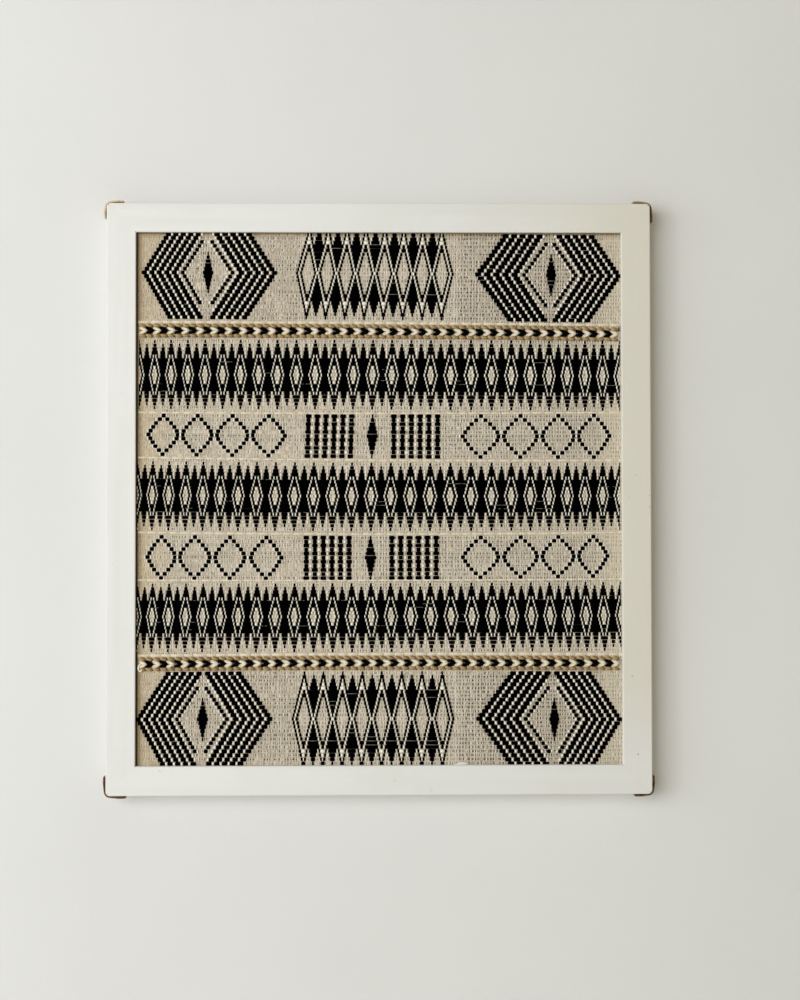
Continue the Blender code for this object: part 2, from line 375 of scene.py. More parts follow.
# Small marks in the paint: across, up from the frame's centre, size in mm and how dark they are
PAINT_MARKS = (
    {"x": 236.9, "z": -235.0, "size": 0.9, "dark": 0.85},
    {"x": -200.4, "z": -248.6, "size": 0.8, "dark": 0.45},
    {"x": 229.6, "z": 0.2, "size": 0.8, "dark": 0.35},
    {"x": 248.2, "z": -8.2, "size": 0.9, "dark": 0.40},
    {"x": 248.4, "z": 2.0, "size": 0.9, "dark": 0.40},
    {"x": 235.8, "z": 20.8, "size": 0.6, "dark": 0.60},
    {"x": 231.9, "z": -163.8, "size": 1.6, "dark": 0.22},
    {"x": 47.0, "z": -267.0, "size": 2.6, "dark": 0.07},
    {"x": 14.0, "z": -258.4, "size": 2.2, "dark": 0.07},
    {"x": -236.0, "z": 96.0, "size": 0.6, "dark": 0.30},
    {"x": -243.5, "z": -60.0, "size": 0.7, "dark": 0.25},
)


def brushed_paint(name, brush):
    """White paint laid on with a brush along x or z: faint ridges and a few marks, a darker, yellower tint
    towards the right, and painted shade on the outer sides and on the window's left and top inner walls.
    """
    paint = Finish(name)
    here = paint.place()
    fine = (6, 320, 320) if brush == "x" else (320, 320, 6)
    broad = (3, 60, 60) if brush == "x" else (60, 60, 3)
    ridges = paint.noise(paint.stretched(here, fine), 1.0, 3.0, 0.6)
    sweeps = paint.noise(paint.stretched(here, broad), 1.0, 2.0, 0.5)
    clouds = paint.noise(here, 14.0, 3.0, 0.6)
    spot = paint.parts(here)
    # Darker and yellower towards the right, and much weaker on the bottom rail.
    right_side_tint = paint.between(spot[0], 0.06, 0.27, 0.0, 0.90)
    right_side_tint = paint.sums("MULTIPLY", right_side_tint, paint.between(spot[2], CENTRE_Z - 0.26, CENTRE_Z - 0.15, 0.12, 1.0))
    shade = paint.mixed(paint.between(sweeps, 0.35, 0.7), tone(229, 228, 223), tone(224, 223, 218))
    shade = paint.mixed(paint.between(clouds, 0.45, 0.75, 0, 0.40), shade, tone(222, 219, 209))
    shade = paint.mixed(right_side_tint, shade, tone(218, 213, 197))
    shade = paint.mixed(paint.between(ridges, 0.60, 0.85, 0, 0.25), shade, tone(205, 202, 190))
    # Painted shade: the frame's outer left and right sides are mixed darker.
    side = paint.between(paint.sums("ABSOLUTE", spot[0]), 0.2490, 0.2498, 0, 0.55)
    shade = paint.mixed(side, shade, tone(196, 192, 180))
    # Painted shade: the inner walls at the window's left and top edges are mixed dark brown, strongest at
    # the left, where the rails' lips lie in shade.
    inner = paint.between(spot[1], -0.0213, -0.0206)
    rise = paint.sums("ABSOLUTE", paint.sums("SUBTRACT", spot[2], CENTRE_Z))
    inner = paint.sums("MULTIPLY", inner, paint.between(rise, 0.2451, 0.2456, 1, 0))
    sideways = paint.sums("ABSOLUTE", spot[0])
    inner = paint.sums("MULTIPLY", inner, paint.between(sideways, 0.2238, 0.2243, 1, 0))
    left = paint.between(paint.sums("ABSOLUTE", paint.sums("ADD", spot[0], 0.2231)), 0.0005, 0.0008, 0.86, 0)
    top = paint.between(paint.sums("ABSOLUTE", paint.sums("ADD", spot[2], 0.0134)), 0.0005, 0.0008, 0.45, 0)
    painted_inner_shade = paint.sums("MULTIPLY", inner, paint.sums("MAXIMUM", left, top))
    shade = paint.mixed(painted_inner_shade, shade, tone(74, 56, 32))
    for mark in PAINT_MARKS:
        mark_at = (mark["x"] / 1000, -0.022, CENTRE_Z + mark["z"] / 1000)
        far = paint.vectors("DISTANCE", here, mark_at)
        size = mark["size"] / 1000
        shade = paint.mixed(paint.between(far, size * 0.35, size, mark["dark"], 0), shade, tone(70, 52, 34))
    pits = paint.noise(here, 900.0, 2.0, 0.5)
    normal = paint.relief(ridges, 0.00022, 0.55)
    normal = paint.relief(pits, 0.00005, 0.35, normal)
    rough = paint.between(sweeps, 0.3, 0.7, 0.42, 0.55)
    return paint.finish(shade, rough, normal, Specular_IOR_Level=0.42)


def woven_ground():
    """Beige warp over thick picks of weft: dark slits and pale threads, in line from pick to pick."""
    cloth = Finish("woven_ground")
    grid = cloth.parts(cloth.place("UV"))
    here = cloth.place()
    spot = cloth.parts(here)
    wander = cloth.noise(cloth.stretched(here, (150, 150, 150)), 1.0, 2.0)
    column = cloth.sums("ADD", grid[0], cloth.sums("MULTIPLY", cloth.sums("SUBTRACT", wander, 0.5), 1.6))
    heave = cloth.noise(cloth.stretched(here, (210, 210, 210), (5, 0, 0)), 1.0, 1.0)
    pick = cloth.sums("ADD", grid[1], cloth.sums("MULTIPLY", cloth.sums("SUBTRACT", heave, 0.5), 0.30))
    pick_floor = cloth.sums("FLOOR", pick)
    pick_part = cloth.sums("SUBTRACT", pick, pick_floor)
    slow = cloth.noise(cloth.stretched(here, (30, 30, 46), (3, 0, 0)), 1.0, 2.0)
    worn = cloth.between(spot[0], -0.09, 0.0, 0.0, 0.20)
    beaten = cloth.random_cell(cloth.joined(pick_floor, 3.5, 0.0))
    beat = cloth.sums("ADD", worn, cloth.sums("MULTIPLY", cloth.sums("SUBTRACT", beaten, 0.5), 0.32))
    slits, pales = None, None
    for spread, offset, strength in ((3.0, 0.5, 1.0), (2.0, 0.0, 0.55), (5.0, 1.7, 0.9)):
        along = cloth.sums("DIVIDE", cloth.sums("ADD", column, offset + 600.0), spread)
        cell = cloth.sums("FLOOR", along)
        steady = cloth.random_cell(cloth.joined(cell, spread + 0.5, 0.0))
        dice = cloth.random_cell(cloth.joined(cell, pick_floor, 0.0))
        shift = cloth.sums("MULTIPLY", cloth.sums("SUBTRACT", dice, 0.5), 0.34)
        part = cloth.sums("SUBTRACT", cloth.sums("SUBTRACT", along, cell), 0.5)
        side = cloth.sums("MULTIPLY", cloth.sums("ADD", part, shift), spread / 0.72)
        up = cloth.sums("DIVIDE", cloth.sums("SUBTRACT", pick_part, 0.5), 0.40)
        far = cloth.vectors("LENGTH", cloth.joined(side, up, 0.0))
        luck = cloth.sums("ADD", cloth.sums("MULTIPLY", steady, 0.10), cloth.sums("MULTIPLY", dice, 0.68))
        luck = cloth.sums("ADD", cloth.sums("ADD", luck, beat), cloth.sums("MULTIPLY", slow, 0.50))
        open_slit = cloth.between(luck, 0.48, 0.98, 0.0, strength)
        deep = cloth.sums("MULTIPLY", open_slit, cloth.between(far, 0.3, 1.15, 1, 0))
        beside = cloth.sums("ABSOLUTE", cloth.sums("SUBTRACT", cloth.sums("ABSOLUTE", side), 1.75))
        pale_rim = cloth.between(luck, 0.45, 0.9, 0.0, strength)
        rim = cloth.sums("MULTIPLY", cloth.between(beside, 0.0, 0.8, 1, 0), pale_rim)
        rim = cloth.sums("MULTIPLY", rim, cloth.between(cloth.sums("ABSOLUTE", up), 0.7, 1.3, 1, 0))
        slits = deep if slits is None else cloth.sums("MAXIMUM", slits, deep)
        pales = rim if pales is None else cloth.sums("MAXIMUM", pales, rim)
    from_row = cloth.sums("PINGPONG", cloth.sums("SUBTRACT", pick, 27.5), 16.0)
    inner_rows = cloth.between(cloth.sums("ABSOLUTE", cloth.sums("SUBTRACT", pick, 59.5)), 41.0, 42.5, 1, 0)
    rows = cloth.sums("MULTIPLY", inner_rows, cloth.between(from_row, 8.5, 10.0, 1, 0.62))
    lattices = cloth.between(cloth.sums("ABSOLUTE", spot[0]), 0.070, 0.078, 0.9, 0.0)
    lattices = cloth.sums("MULTIPLY", lattices, cloth.sums("SUBTRACT", 1.0, inner_rows))
    rows = cloth.sums("MAXIMUM", rows, lattices)
    edges = cloth.between(cloth.sums("ABSOLUTE", spot[0]), 0.190, 0.208, 0.0, 0.5)
    calm = cloth.sums("SUBTRACT", 1.12, cloth.sums("MAXIMUM", cloth.sums("MULTIPLY", rows, 0.35), edges))
    slits = cloth.sums("MULTIPLY", slits, calm)
    thread = cloth.random_cell(cloth.joined(cloth.sums("FLOOR", column), pick_floor, 0.0))
    seam = cloth.between(cloth.sums("ABSOLUTE", cloth.sums("SUBTRACT", pick_part, 0.5)), 0.34, 0.5)
    patches = cloth.noise(here, 11.0, 3.0, 0.6)
    flecks = cloth.noise(cloth.stretched(here, (760, 760, 430)), 1.0, 2.0, 0.6)
    mottle = cloth.noise(cloth.stretched(here, (90, 90, 160), (0, 0, 7)), 1.0, 2.0, 0.6)
    shade = cloth.mixed(cloth.between(thread, 0.0, 1.0), tone(173, 159, 138), tone(220, 206, 187))
    shade = cloth.mixed(cloth.between(patches, 0.35, 0.7, 0, 0.5), shade, tone(187, 174, 154))
    shade = cloth.mixed(cloth.between(spot[0], 0.02, 0.17, 0, 0.24), shade, tone(160, 146, 122))
    # Painted light: the ground among the pattern rows is mixed lighter, making up for the shade that the
    # raised floats cast on it.
    shade = cloth.mixed(cloth.sums("MULTIPLY", rows, 0.34), shade, tone(238, 225, 203))
    shade = cloth.mixed(cloth.between(mottle, 0.48, 0.76, 0, 0.55), shade, tone(167, 153, 131))
    shade = cloth.mixed(cloth.between(flecks, 0.50, 0.72, 0, 0.60), shade, tone(232, 225, 210))
    shade = cloth.mixed(cloth.between(flecks, 0.34, 0.48, 0.42, 0), shade, tone(142, 130, 112))
    joint = cloth.sums("MULTIPLY", seam, cloth.between(beaten, 0.1, 0.9, 0.25, 0.70))
    shade = cloth.mixed(joint, shade, tone(160, 148, 106))
    shade = cloth.mixed(cloth.sums("MULTIPLY", pales, 0.75), shade, tone(240, 233, 217))
    from_top = cloth.sums("SUBTRACT", CENTRE_Z + WINDOW_HEIGHT / 2, spot[2])
    from_left = cloth.sums("ADD", spot[0], WINDOW_WIDTH / 2)
    edge = cloth.sums("MINIMUM", cloth.sums("MULTIPLY", from_top, 1.25), from_left)
    shade = cloth.mixed(cloth.between(spot[0], 0.192, 0.212, 0, 0.34), shade, tone(234, 222, 194))
    warm = cloth.between(from_left, 0.0, 0.042, 0.42, 0)
    shade = cloth.mixed(warm, shade, tone(206, 184, 140))
    uneven = cloth.between(flecks, 0.2, 0.8, 0.6, 1.0)
    # Browner near the window's left and top edges, fading out over 6 to 8 mm, unevenly.
    browner_left_top = cloth.sums("MULTIPLY", cloth.between(edge, 0.0006, 0.0080, 1, 0), uneven)
    shade = cloth.mixed(cloth.sums("MULTIPLY", browner_left_top, 0.72), shade, tone(146, 118, 66))
    # Painted shadow: a near-black brown line along the cloth's left edge and a fainter one along its top
    # edge, where the rails' lips shade it.
    shade = cloth.mixed(cloth.between(from_left, 0.0006, 0.0021, 0.90, 0), shade, tone(48, 33, 14))
    shade = cloth.mixed(cloth.between(from_top, 0.0003, 0.0016, 0.45, 0), shade, tone(70, 54, 28))
    shade = cloth.mixed(cloth.sums("MULTIPLY", slits, 0.95), shade, tone(54, 44, 36))
    ridge = cloth.sums("SINE", cloth.sums("MULTIPLY", column, 2 * math.pi))
    height = cloth.sums("SUBTRACT", cloth.sums("MULTIPLY", ridge, 0.22), cloth.sums("MULTIPLY", slits, 1.0))
    height = cloth.sums("ADD", height, cloth.sums("MULTIPLY", flecks, 0.35))
    normal = cloth.relief(height, 0.0004, 0.85)
    return cloth.finish(
        shade, 0.92, normal, Sheen_Weight=0.08, Sheen_Roughness=0.6, Specular_IOR_Level=0.15,
    )


def floating_yarn(name, dark, light, fleck, relief, thread=COLUMN, sheen=0.05, gloss=0.12):
    """Warp threads that float over a pick side by side: fine furrows run up each float."""
    yarn = Finish(name)
    here = yarn.place()
    spot = yarn.parts(here)
    furrow = yarn.sums("SINE", yarn.sums("MULTIPLY", spot[0], 2 * math.pi / thread))
    fibres = yarn.noise(yarn.stretched(here, (1500, 1500, 260)), 1.0, 2.0, 0.6)
    broad = yarn.noise(here, 60.0, 2.0, 0.6)
    shade = yarn.mixed(yarn.between(fibres, 0.35, 0.75), dark, light)
    shade = yarn.mixed(yarn.between(broad, 0.5, 0.8, 0, 0.5), shade, fleck)
    height = yarn.sums("ADD", yarn.sums("MULTIPLY", furrow, 0.5), fibres)
    normal = yarn.relief(height, relief, 0.7)
    return yarn.finish(
        shade, 0.9, normal, Sheen_Weight=sheen, Sheen_Roughness=0.5, Specular_IOR_Level=gloss,
    )


def twined_yarn(name, near, middle, far, dark, plies=2.0, sheen=0.1, gloss=0.15):
    """A thick twisted yarn, lit along its turn: its plies wind round it and it darkens where it dives."""
    yarn = Finish(name)
    wrap = yarn.parts(yarn.place("UV"))
    around, along = wrap[0], wrap[1]
    here = yarn.place()
    fibres = yarn.noise(yarn.stretched(here, (520, 520, 1100)), 1.0, 3.0, 0.6)
    turn = yarn.sums("ADD", yarn.sums("MULTIPLY", around, plies), yarn.sums("MULTIPLY", along, 1.6))
    ply = yarn.sums("ABSOLUTE", yarn.sums("SINE", yarn.sums("MULTIPLY", turn, math.pi)))
    shade = yarn.mixed(yarn.between(along, 0.15, 0.55), near, middle)
    shade = yarn.mixed(yarn.between(along, 0.55, 0.92), shade, far)
    # Painted shade in the grooves between the plies.
    shade = yarn.mixed(yarn.between(ply, 0.0, 0.38, 0.55, 0), shade, dark)
    shade = yarn.mixed(yarn.between(fibres, 0.40, 0.70, 0, 0.4), shade, dark)
    height = yarn.sums("ADD", ply, yarn.sums("MULTIPLY", fibres, 0.5))
    normal = yarn.relief(height, 0.00035, 0.8)
    return yarn.finish(
        shade, 0.88, normal, Sheen_Weight=sheen, Sheen_Roughness=0.5, Specular_IOR_Level=gloss,
    )


def aged_brass():
    """Thin brass, browned by age, with a painted highlight on the top straps' upper legs and on the top left
    strap.
    """
    brass = Finish("aged_brass")
    here = brass.place()
    spots = brass.noise(here, 260.0, 3.0, 0.6)
    shade = brass.mixed(brass.between(spots, 0.4, 0.7), tone(96, 66, 36), tone(150, 112, 66))
    spot = brass.parts(here)
    on_top = brass.between(spot[2], 0.0105, 0.0125)
    on_left = brass.between(spot[0], -0.1, 0.1, 1, 0)
    upper = brass.between(spot[2], -0.06, -0.05)
    # Painted highlight: the top straps' upper legs and the top left strap are mixed lighter, as if lit from
    # the upper left.
    painted_highlight = brass.sums("MULTIPLY", upper, brass.sums("MAXIMUM", on_top, on_left))
    shade = brass.mixed(brass.sums("MULTIPLY", painted_highlight, 0.75), shade, tone(206, 178, 140))
    rough = brass.between(spots, 0.3, 0.7, 0.55, 0.36)
    normal = brass.relief(spots, 0.0001, 0.5)
    return brass.finish(shade, rough, normal, Metallic=0.85)


PAINT_LEVEL = brushed_paint("brushed_paint_level", "x")
PAINT_UPRIGHT = brushed_paint("brushed_paint_upright", "z")
GROUND = woven_ground()
BLACK = floating_yarn("black_warp", tone(1, 1, 2), tone(5, 5, 7), tone(8, 7, 9), 0.0003, COLUMN, 0.0, 0.0)
CREAM = floating_yarn("cream_warp", tone(240, 233, 214), tone(253, 250, 240), tone(248, 241, 222), 0.0002)
WEFT = floating_yarn(
    "cream_weft", tone(219, 205, 180), tone(234, 221, 197), tone(226, 211, 182), 0.0002, WEFT_THREAD,
)
PEEK = floating_yarn(
    "grey_weft", tone(128, 122, 110), tone(170, 162, 147), tone(150, 142, 128), 0.0001, WEFT_THREAD,
)
JUTE = twined_yarn(
    "brown_jute", tone(203, 178, 132), tone(164, 133, 84), tone(112, 84, 46), tone(88, 62, 32),
)
BRAID_CREAM = twined_yarn(
    "cream_braid", tone(210, 198, 172), tone(238, 229, 208), tone(228, 216, 190), tone(166, 148, 116),
)
BRAID_BLACK = twined_yarn(
    "black_braid", tone(3, 3, 5), tone(6, 6, 8), tone(8, 8, 10), tone(1, 1, 2), 2.0, 0.0, 0.02,
)
BRASS = aged_brass()


# Shapes that are modelled once and then laid many times
def clear_choice():
    if bpy.context.mode != "OBJECT":
        bpy.ops.object.mode_set(mode="OBJECT")
    bpy.ops.object.select_all(action="DESELECT")


def choose_faces(piece, wanted):
    """Selects the faces that pass a test on their middle and normal, in edit mode."""
    bpy.ops.mesh.select_mode(type="FACE")
    bpy.ops.mesh.select_all(action="DESELECT")
    shape = bmesh.from_edit_mesh(piece.data)
    for face in shape.faces:
        face.select = bool(wanted(face.calc_center_median(), face.normal))
    shape.select_flush(True)
    bmesh.update_edit_mesh(piece.data)


def float_pattern(name, sides, first, crown):
    """One float of warp over a pick, 2 wide and high and 1 deep, its crown towards -y."""
    clear_choice()
    bpy.ops.mesh.primitive_cylinder_add(
        vertices=sides, radius=1 / math.cos(math.pi / sides), depth=0.55, location=(0, -0.275, 0),
        rotation=(math.pi / 2, math.pi / sides if sides % 4 == 0 else 0, 0),
    )
    piece = bpy.context.active_object
    piece.name = name
    bpy.ops.object.transform_apply(location=True, rotation=True, scale=True)
    bpy.ops.object.mode_set(mode="EDIT")
    choose_faces(piece, lambda middle, normal: normal.y > 0.9)
    bpy.ops.transform.resize(value=(first, 1, first))
    choose_faces(piece, lambda middle, normal: normal.y < -0.9)
    bpy.ops.mesh.extrude_region_move(TRANSFORM_OT_translate={"value": (0, -0.45, 0)})
    bpy.ops.transform.resize(value=(crown, 1, crown))
    bpy.ops.mesh.select_all(action="SELECT")
    bpy.ops.mesh.normals_make_consistent(inside=False)
    bpy.ops.object.mode_set(mode="OBJECT")
    return take_pattern(piece)


def lobe_pattern(name, tip):
    """One visible turn of a twined yarn along x, 2 long, its right end drawn in to a tip."""
    clear_choice()
    bpy.ops.mesh.primitive_uv_sphere_add(segments=8, ring_count=7, radius=1, rotation=(0, math.pi / 2, 0))
    piece = bpy.context.active_object
    piece.name = name
    bpy.ops.object.transform_apply(location=True, rotation=True, scale=True)
    bpy.ops.object.mode_set(mode="EDIT")
    choose_faces(piece, lambda middle, normal: middle.x > 0.55)
    bpy.ops.transform.resize(value=(1, tip, tip))
    choose_faces(piece, lambda middle, normal: middle.x < -0.55)
    bpy.ops.transform.resize(value=(1, 1.12, 1.12))
    bpy.ops.mesh.select_all(action="SELECT")
    bpy.ops.mesh.normals_make_consistent(inside=False)
    bpy.ops.object.mode_set(mode="OBJECT")
    return take_pattern(piece)


def take_pattern(piece):
    """Takes a modelled shape's points, faces and UV map, and removes the piece itself."""
    mesh = piece.data
    points = np.zeros(len(mesh.vertices) * 3)
    mesh.vertices.foreach_get("co", points)
    corners = np.zeros(len(mesh.loops), dtype=np.int64)
    mesh.loops.foreach_get("vertex_index", corners)
    starts = np.zeros(len(mesh.polygons), dtype=np.int64)
    mesh.polygons.foreach_get("loop_start", starts)
    wrap = np.zeros(len(mesh.loops) * 2)
    mesh.uv_layers[0].data.foreach_get("uv", wrap)
    bpy.data.objects.remove(piece)
    return {"points": points.reshape(-1, 3), "corners": corners, "starts": starts, "wrap": wrap}


def join_copies(name, pattern, points, finish):
    """One mesh of many copies of a pattern: points holds each copy's own points."""
    copies, count = points.shape[0], points.shape[1]
    corners = (pattern["corners"][None, :] + (np.arange(copies) * count)[:, None]).ravel()
    loops = len(pattern["corners"])
    starts = (pattern["starts"][None, :] + (np.arange(copies) * loops)[:, None]).ravel()
    mesh = bpy.data.meshes.new(name)
    mesh.vertices.add(copies * count)
    mesh.vertices.foreach_set("co", points.ravel())
    mesh.loops.add(len(corners))
    mesh.loops.foreach_set("vertex_index", corners)
    mesh.polygons.add(len(starts))
    mesh.polygons.foreach_set("loop_start", starts)
    mesh.polygons.foreach_set("use_smooth", np.ones(len(starts), dtype=bool))
    mesh.uv_layers.new(name="yarn")
    mesh.uv_layers[0].data.foreach_set("uv", np.tile(pattern["wrap"], copies))
    mesh.update(calc_edges=True)
    mesh.validate()
    mesh.materials.append(finish)
    piece = bpy.data.objects.new(name, mesh)
    bpy.context.scene.collection.objects.link(piece)
    return piece


def lay_floats(name, pattern, floats, finish, rise, corner):
    """Lays floats on the cloth. Each is its middle, width, height and slant, in metres."""
    table = np.array(floats)
    x, z, width, height, slant = (table[:, i][:, None] for i in range(5))
    unit = pattern["points"][None, :, :]
    round_x = np.minimum(corner, width / 2)
    round_z = np.minimum(corner, height / 2)
    across_x = np.sign(unit[:, :, 0]) * (width / 2 - round_x) + unit[:, :, 0] * round_x
    up = np.sign(unit[:, :, 2].round(6)) * (height / 2 - round_z) + unit[:, :, 2] * round_z
    at_x = x + across_x + slant * up
    at_z = z + up
    lifts = np.array([chance.uniform(0.88, 1.12) for _ in floats])[:, None]
    depth = 0.0003 + unit[:, :, 1] * (0.0003 + rise * lifts)
    at_y = cloth_front(at_x, at_z) + depth
    points = np.stack([at_x, at_y, at_z + CENTRE_Z], axis=2)
    return join_copies(name, pattern, points, finish)


def lay_lobes(name, pattern, lobes, finish):
    """Lays lobes of twined yarn. Each is its middle, length, thickness, depth, tilt and dive."""
    table = np.array(lobes)
    x, y, z, length, thick, deep, tilt, dive = (table[:, i][:, None] for i in range(8))
    unit = pattern["points"][None, :, :]
    along = unit[:, :, 0] * length / 2
    up = unit[:, :, 2] * thick / 2
    at_x = x + along * np.cos(tilt) - up * np.sin(tilt)
    at_z = z + along * np.sin(tilt) + up * np.cos(tilt)
    at_y = y + unit[:, :, 1] * deep / 2 - unit[:, :, 0] * dive
    points = np.stack([at_x, at_y, at_z + CENTRE_Z], axis=2)
    return join_copies(name, pattern, points, finish)


FLOAT = float_pattern("float_pattern", 8, 0.94, 0.62)
GRAIN = float_pattern("grain_pattern", 6, 0.90, 0.50)
LEAF = lobe_pattern("leaf_pattern", 0.84)


# The woven cloth
def weave_cloth():
    """The whole cloth, one ridge for each pick of weft, tacked flat in the rabbet."""
    heights = []
    for name, row in ROWS.items():
        reach = 9 if row["pick"] in (27, 59, 91) else 5 if row["pick"] in (43, 75) else 11
        for step in (-reach, 0, reach):
            heights.append((row["pick"] + step, pick_height(name, -step, 0.0)))
    heights.sort()
    picks = np.array([pick for pick, _ in heights], float)
    levels = np.array([level for _, level in heights])
    columns, ridges = 76, 580
    clear_choice()
    bpy.ops.mesh.primitive_grid_add(x_subdivisions=columns, y_subdivisions=ridges, size=1, calc_uvs=True)
    piece = bpy.context.active_object
    piece.name = "cloth_sheet"
    mesh = piece.data
    points = np.zeros(len(mesh.vertices) * 3)
    mesh.vertices.foreach_get("co", points)
    points = points.reshape(-1, 3)
    x = points[:, 0] * CLOTH_WIDTH
    z = points[:, 1] * CLOTH_HEIGHT
    sag = across(ROWS["rings_top"], x) - ROWS["rings_top"]["middle"]
    flat_z = z - sag * 0.6
    pick = np.interp(-flat_z, -levels, picks)
    below = flat_z < levels[-1]
    above = flat_z > levels[0]
    pick[below] = picks[-1] + (levels[-1] - flat_z[below]) / 0.0035
    pick[above] = picks[0] - (flat_z[above] - levels[0]) / 0.0035
    ridge = 0.00022 * np.cos(2 * math.pi * pick)
    flat_margin = 0.004
    ridge *= smooth_step((WINDOW_WIDTH / 2 - np.abs(x)) / flat_margin)
    ridge *= smooth_step((WINDOW_HEIGHT / 2 - np.abs(z)) / flat_margin)
    y = cloth_front(x, z) - ridge
    mesh.vertices.foreach_set("co", np.stack([x, y, z + CENTRE_Z], axis=1).ravel())
    columns_at = np.linspace(-260, 260, 1041)
    threads_at = warp_place(columns_at)
    beside = x - warp_drift(x, z)
    past = beside - np.clip(beside, threads_at[0], threads_at[-1])
    column = np.interp(beside, threads_at, columns_at) + past / COLUMN
    corners = np.zeros(len(mesh.loops), dtype=np.int64)
    mesh.loops.foreach_get("vertex_index", corners)
    wrap = np.stack([column[corners], pick[corners] + 0.5], axis=1)
    mesh.uv_layers[0].name = "weave"
    mesh.uv_layers[0].data.foreach_set("uv", wrap.ravel())
    mesh.update()
    bpy.ops.object.mode_set(mode="EDIT")
    bpy.ops.mesh.select_all(action="SELECT")
    bpy.ops.mesh.flip_normals()
    bpy.ops.object.mode_set(mode="OBJECT")
    facing = sum(face.normal.y for face in mesh.polygons[:50])
    if facing > 0:
        mesh.flip_normals()
    body = piece.modifiers.new("thickness", "SOLIDIFY")
    body.thickness = CLOTH_THICKNESS
    body.offset = -1
    bpy.ops.object.modifier_apply(modifier=body.name)
    bpy.ops.object.shade_smooth_by_angle(angle=math.radians(50))
    mesh.materials.append(GROUND)
    return piece


def block(floats, row, pick, x, width, height=1.03, slant=0.0):
    """Adds one float of a pick: x and width in millimetres."""
    at = x / 1000
    pitch = ROWS[row]["pitch"]
    floats.append((
        at + chance.uniform(-0.00010, 0.00010),
        pick_height(row, pick, at) + chance.uniform(-0.00008, 0.00008),
        width / 1000 * chance.uniform(0.95, 1.05),
        pitch * height * chance.uniform(0.98, 1.03),
        slant,
    ))


def weave_spindles(row, black, cream, peeks):
    """A row of long spindles, every other one with a cream outline and a beige heart."""
    big_half = {9: 1.05, 8: 2.0, 7: 3.0, 6: 3.85}
    outline = {5: 1.6, 4: 2.55, 3: 3.6, 2: 4.55, 1: 5.45, 0: 6.5}
    heart = {2: 1.5, 1: 2.4, 0: 3.3}
    small_half = {8: 1.0, 7: 1.95, 6: 2.9}
    for pick in range(-9, 10):
        level = abs(pick)
        up = 1 if pick > 0 else -1
        for number in range(-13, 14):
            middle_column = 20 * number - 0.03 * min(pick, 0)
            z = pick_height(row, pick, warp_place(middle_column))

            def place(column):
                x = warp_place(column)
                return (x + warp_drift(x, z)) * 1000

            if abs(place(middle_column)) > SPINDLE_REACH:
                continue

            def run(first, last, shade=black, height=1.04, slant=0.0):
                left = max(place(middle_column + first), -SPINDLE_EDGE)
                right = min(place(middle_column + last), SPINDLE_EDGE)
                if right - left > 0.4:
                    block(shade, row, pick, (left + right) / 2, right - left, height, slant)

            def peek(first, last):
                low = z + ROWS[row]["pitch"] / 2
                start = first
                while start < last:
                    stop = min(start + chance.uniform(1.2, 3.0), last)
                    left, right = place(middle_column + start), place(middle_column + stop)
                    if left > -PEEK_EDGE and right < PEEK_EDGE and chance.random() < 0.78:
                        tall = chance.uniform(0.00030, 0.00056)
                        peeks.append(((left + right) / 2000, low, (right - left) / 1000, tall, 0.0))
                    start = stop

            if level >= 6:
                tall = 0.88 if level >= 8 else 1.02 if pick > 0 else 0.92
                run(-big_half[level], big_half[level], black, tall, 0.06 if level == 9 else 0.0)
                if level == 9:
                    run(-2.3, -1.4, cream, 0.6)
                    run(1.4, 2.3, cream, 0.6)
                if level in small_half:
                    run(10 - small_half[level], 10 + small_half[level], black, tall)
                edge = (big_half[level] + 10 - small_half.get(level, 0.0)) / 2
                if level in (6, 7):
                    tall = 0.88 if level == 6 else 0.62
                    run(edge - 0.6, edge + 0.6, cream, tall)
                    run(20 - edge - 0.6, 20 - edge + 0.6, cream, tall)
                elif chance.random() < 0.5:
                    run(big_half[level] + 0.3, big_half[level] + 1.1, cream, 0.65)
                    run(-big_half[level] - 1.1, -big_half[level] - 0.3, cream, 0.65)
                if pick < 0 and chance.random() < 0.62:
                    peek(-big_half[level] * 0.95, big_half[level] * 0.95)
                if pick < 0 and level in small_half and chance.random() < 0.55:
                    peek(10 - small_half[level] * 0.9, 10 + small_half[level] * 0.9)
                continue
            line = outline[level]
            if level == 5:
                run(-0.95, 0.95)
                run(2.25, 4.6)
                run(-4.6, -2.25)
                run(6.8, 13.2)
                run(5.0, 6.1, cream, 0.82)
                run(-6.1, -5.0, cream, 0.82)
            elif level >= 3:
                run(-line + 0.6, line - 0.6)
                run(line + 0.6, 20 - line - 0.6)
            else:
                core = heart[level]
                run(-line + 0.6, -core - 0.1)
                run(core + 0.1, line - 0.6)
                run(line + 0.6, 20 - line - 0.6)
                if level == 2:
                    run(-core + 0.15, core - 0.15, cream, 0.80)
                else:
                    run(-core + 0.15, -core + 1.4, cream, 0.80)
                    run(core - 1.4, core - 0.15, cream, 0.80)
            lean = 0.0 if level == 0 else 0.03 * up
            run(-line - 0.66, -line + 0.66, cream, 0.83, lean)
            run(line - 0.66, line + 0.66, cream, 0.83, -lean)
            if chance.random() < (0.09 if pick > -2 else 0.22) and number % 2 == 0:
                start = chance.uniform(-4, 10)
                peek(start, start + chance.uniform(6, 19))


